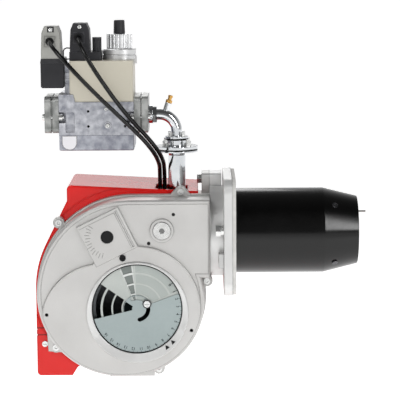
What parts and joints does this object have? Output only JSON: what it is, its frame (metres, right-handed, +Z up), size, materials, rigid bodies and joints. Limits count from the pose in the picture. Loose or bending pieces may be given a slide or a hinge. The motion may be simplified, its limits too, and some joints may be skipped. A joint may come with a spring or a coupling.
{
  "type": "industrial gas burner",
  "caption": "Forced-draught gas burner: cast scroll fan housing with a dial air damper, red hood, flanged black blast tube, and a gas valve on a riser pipe.",
  "frame": {"origin": "centre of the mounting flange's front face, where the gasket lies, on the blast tube's axis", "axes": "+X along the blast tube towards the flame, +Z up, and the air intake faces -Y"},
  "size_m": [0.4675, 0.221, 0.5024],
  "materials": {
    "cast_aluminium": "as-cast, fine shot-blasted grain",
    "zinc_plate": "zinc-plated sheet, dull grey-green",
    "bright_steel": "zinc-plated fasteners",
    "black_screws": "blackened",
    "chromed_pipe": "bright zinc chromate, polished",
    "black_plastic": "moulded, fine texture",
    "galvanised_sheet": "galvanised",
    "motor_grey": "satin paint",
    "red_enamel": "glossy red moulding",
    "gasket_board": "pressed mineral fibre board",
    "seal_rubber": "matt",
    "black_enamel": "gloss black heat-resisting paint",
    "heat_steel": "scaled stainless steel",
    "electrode_ceramic": "glazed alumina with a steel tip",
    "brass": "turned",
    "zinc_casting": "die-cast zinc, mottled",
    "white_plastic": "moulded",
    "beige_enamel": "satin beige paint",
    "satin_nickel": "turned and satin plated",
    "grey_plastic": "moulded",
    "cable_sheath": "smooth black sheath"
  },
  "bodies": {
    "burner": {"blast_tube": "black_enamel", "blast_tube_screws": "black_screws", "cable_glands": "black_plastic", "cable_grommet": "seal_rubber", "coil_connector": "black_plastic", "coil_housing": "beige_enamel", "coil_lead": "cable_sheath", "connector_base": "black_plastic", "damper_lock_screw": "bright_steel", "diffuser_disc": "heat_steel", "elbow_bolts": "bright_steel", "elbow_flange": "chromed_pipe", "elbow_pipe": "chromed_pipe", "electrode_bracket": "heat_steel", "flange_clamp_bolts": "bright_steel", "flange_gasket": "gasket_board", "flange_neck": "cast_aluminium", "front_housing": "cast_aluminium", "gas_head": "heat_steel", "gas_riser": "chromed_pipe", "hood": "red_enamel", "hood_screws": "bright_steel", "housing_screws": "bright_steel", "ignition_electrode": "electrode_ceramic", "inlet_grille": "cast_aluminium", "inner_gas_pipe": "heat_steel", "ionisation_probe": "electrode_ceramic", "motor_body": "motor_grey", "motor_end_cap": "motor_grey", "mounting_flange": "cast_aluminium", "neck_hinge_bolt": "bright_steel", "port_plug": "bright_steel", "rear_housing": "cast_aluminium", "regulator_ring": "satin_nickel", "ribbed_cap": "black_plastic", "riser_gasket": "seal_rubber", "servo_opening_plug": "black_plastic", "switch_base": "zinc_casting", "switch_body": "black_plastic", "switch_connector": "grey_plastic", "switch_lead": "cable_sheath", "switch_lid": "black_plastic", "tap_screw": "black_plastic", "test_nipple": "brass", "union_bolts": "bright_steel", "union_flange": "chromed_pipe", "union_nut": "chromed_pipe", "upper_gasket": "seal_rubber", "valve_block": "zinc_casting", "valve_flange_screws": "bright_steel", "valve_inlet_flange": "zinc_casting", "valve_lower_cover": "zinc_casting", "valve_outlet_flange": "zinc_casting", "vent_cap": "white_plastic"},
    "fan": {"impeller": "galvanised_sheet", "motor_shaft": "bright_steel"},
    "damper": {"damper_disc": "zinc_plate"},
    "flow_knob": {"regulator_knob": "satin_nickel"},
    "flow_knob_cap": {"knob_cap": "black_plastic"}
  },
  "joints": [
    {"name": "fan_spin", "type": "hinge", "parent": "burner", "child": "fan", "pos_m": [-0.1326, 0, -0.098], "axis": [0, 1, 0], "continuous": true},
    {"name": "damper_turn", "type": "hinge", "parent": "burner", "child": "damper", "pos_m": [-0.1326, -0.072, -0.098], "axis": [0, -1, 0], "range_deg": [-48, 100]},
    {"name": "flow_knob_turn", "type": "hinge", "parent": "burner", "child": "flow_knob", "pos_m": [-0.1561, 0.014, 0.26], "axis": [0, 0, 1], "range_deg": [-150, 150]},
    {"name": "cap_lift", "type": "slide", "parent": "flow_knob", "child": "flow_knob_cap", "axis": [0, 0, 1], "range_m": [0, 0.022]}
  ]
}
